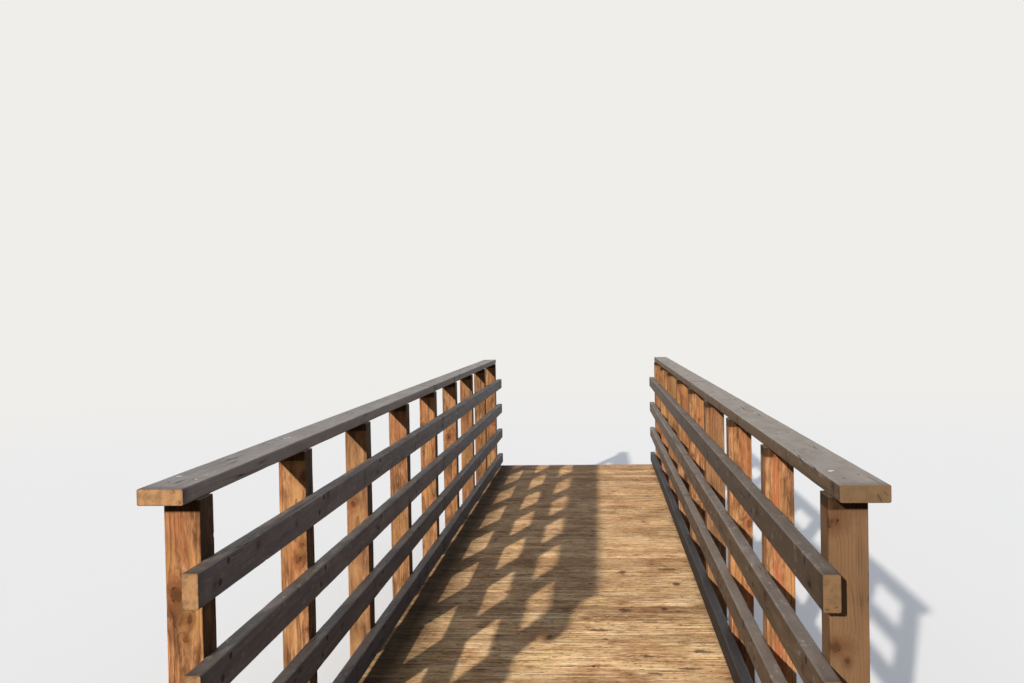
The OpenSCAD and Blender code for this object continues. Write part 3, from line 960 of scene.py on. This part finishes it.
# Two screws stand corner to corner at each post, and four at the middle one, where the lengths meet.
DIAGONAL = ((-1, -1), (1, 1))
CORNERS = DIAGONAL + ((-1, 1), (1, -1))
MIDDLE_POST = 5
CAP_PAIR = (24.0 * MM, 26.0 * MM)
# Bolts: how far along from the post's middle, and how high.
BOLT_AT = ((-20.0 * MM, 0.345), (20.0 * MM, 0.205))
SCREWED_RIBS = (2, 6)
SCREW_SINK = 1.6 * MM
PROUD = 0.1 * MM
rng = random.Random(600)
post_y = [sum(corner.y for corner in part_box(f"left_post_{number}")) / 2 for number in POSTS]
post_screws = [CORNERS if number == MIDDLE_POST else DIAGONAL for number in POSTS]
rail_screw, cap_screw, deck_screw = screw_head(6.5 * MM), screw_head(4.5 * MM), screw_head(4.5 * MM)
bolt, nut = hex_and_washer(7.5 * MM, 0.0), hex_and_washer(10.0 * MM, 9.0 * MM)
for side, sign in SIDES:
    places = []
    for level in LEVELS:
        low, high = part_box(f"{side}_rail_{level}")
        face_x = low.x if sign > 0 else high.x
        middle = (low.z + high.z) / 2
        for y, screws in zip(post_y, post_screws):
            for along, up in screws:
                point = (face_x, y + along * HALF_PAIR + rng.uniform(-3, 3) * MM,
                         middle + up * HALF_RISE + SCREW_RISE + rng.uniform(-3, 3) * MM)
                places.append((rail_screw, point, (-sign, 0.0, 0.0), rng.random()))
    place_all(f"{side}_rail_screws", places, coat)

    places = []
    low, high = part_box(f"{side}_cap")
    middle = (low.x + high.x) / 2
    for y, screws in zip(post_y, post_screws):
        for across, along in screws:
            point = (middle + across * CAP_PAIR[0], y + along * CAP_PAIR[1], high.z - CAP_CUP + PROUD)
            places.append((cap_screw, point, UP, rng.random()))
    place_all(f"{side}_cap_screws", places, coat)

    # The posts in between, with even numbers, have no block behind the beam, and show the bolts' nuts.
    places = []
    post_box, beam_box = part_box(f"{side}_post_1"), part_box(f"{side}_beam")
    outer_x = post_box[1].x if sign > 0 else post_box[0].x
    inner_x = beam_box[0].x if sign > 0 else beam_box[1].x
    for number, y in zip(POSTS, post_y):
        for step, z in BOLT_AT:
            places.append((bolt, (outer_x, y + step, z), (sign, 0.0, 0.0), rng.random()))
            if number % 2 == 0:
                places.append((nut, (inner_x, y + step, z), (-sign, 0.0, 0.0), rng.random()))
    place_all(f"{side}_beam_bolts", places, zinc)

places = []
beam_lines = [sum(corner.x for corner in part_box(node)) / 2 for node in BEAM_NODES]
for i in range(BOARDS):
    for x in beam_lines:
        for rib in SCREWED_RIBS:
            point = (x + rng.uniform(-4, 4) * MM, deck_low.y + i * board_pitch + rib * groove_pitch,
                     deck_high.z - SCREW_SINK)
            places.append((deck_screw, point, UP, rng.random()))
place_all("deck_screws", places, coat)

# Bird lime lies here and there on the caps.
cap_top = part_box("left_cap")[1].z - CAP_CUP + PROUD
LIME_AT = ((-0.935, -3.92), (-0.862, -3.977), (-0.913, -3.002), (-0.905, -2.975), (0.862, -3.908),
           (0.868, -3.895), (0.92, -2.2), (-0.88, -0.9), (0.9, 1.4), (-0.92, 2.3), (0.87, 3.1))
place_all("bird_lime", [(lime_spot(rng), (x, y, cap_top), UP, 0.0) for x, y in LIME_AT], lime)


# Floor and light

BACKDROP = "#EFEEEB"
FLOOR_REACH = 80.0
# How strong the fill is at the horizon and overhead.
FILL = (0.13, 0.50)


def seen_directly(add):
    """1 where the camera looks, also by a reflection or through glass, and 0 where light is gathered."""
    ray = add("LightPath").node.outputs
    seen = add(MOST, (ray["Is Camera Ray"], ray["Is Glossy Ray"]))
    return add(MOST, (seen, ray["Is Transmission Ray"]))


# Matt white card: it keeps the bridge's shadow near by, and fades into the backdrop from 6 m out.
card, add = new_finish("matt_white_card")
here = add("TexCoord", out="Object")
away = add(LENGTH, (here,))
far = add(MAP, (away, 6.0, 24.0), **SMOOTH)
seen = seen_directly(add)
far = add(TIMES, (far, seen))
tint = add(MIX, {"Factor": seen, "A": "#716C64", "B": "#FFFCF6"}, data_type="RGBA")
near = add("BsdfDiffuse", {"Color": tint})
beyond = add("Emission", {"Color": BACKDROP, "Strength": 1.0})
top_side = add("MixShader", (far, near, beyond))
# From below the card is left out of the picture, so that the beams can be seen.
below = add(TIMES, (add("NewGeometry", out="Backfacing"), seen))
clear = add("BsdfTransparent")
add("OutputMaterial", {"Surface": add("MixShader", (below, top_side, clear))})
bm = bmesh.new()
bmesh.ops.create_grid(bm, x_segments=1, y_segments=1, size=FLOOR_REACH)
floor = new_object("floor", as_mesh(bm, "floor"))
floor.data.materials.append(card)

world = bpy.data.worlds.new("studio")
bpy.context.scene.world = world
world.use_nodes = True
world.node_tree.nodes.clear()
add = partial(add_node, world.node_tree)
upward = add(PARTS, (add("TexCoord", out="Generated"),), out="Z")
level = add(MAP, (upward, 0.0, 1.0, *FILL))
fill = add("Background", {"Color": "#DEE9FF", "Strength": level})
backdrop = add("Background", {"Color": BACKDROP, "Strength": 1.0})
add("OutputWorld", {"Surface": add("MixShader", (seen_directly(add), fill, backdrop))})

# The key light stands low behind the camera and to its left. A wide soft lamp beyond the far end lifts
# the sides that face away from it.
for name, toward, energy, angle, colour in (("key", SUNWARD, 4.3, 0.9, (1.0, 0.97, 0.92)),
                                            ("far_fill", (0.0, 0.97, 0.24), 1.5, 70.0, (0.93, 0.96, 1.0))):
    lamp = bpy.data.lights.new(name, "SUN")
    lamp.energy = energy
    lamp.angle = math.radians(angle)
    lamp.color = colour
    stand = new_object(name, lamp)
    stand.rotation_euler = Vector(toward).to_track_quat("Z", "Y").to_euler()

bpy.context.scene.view_settings.view_transform = "Standard"
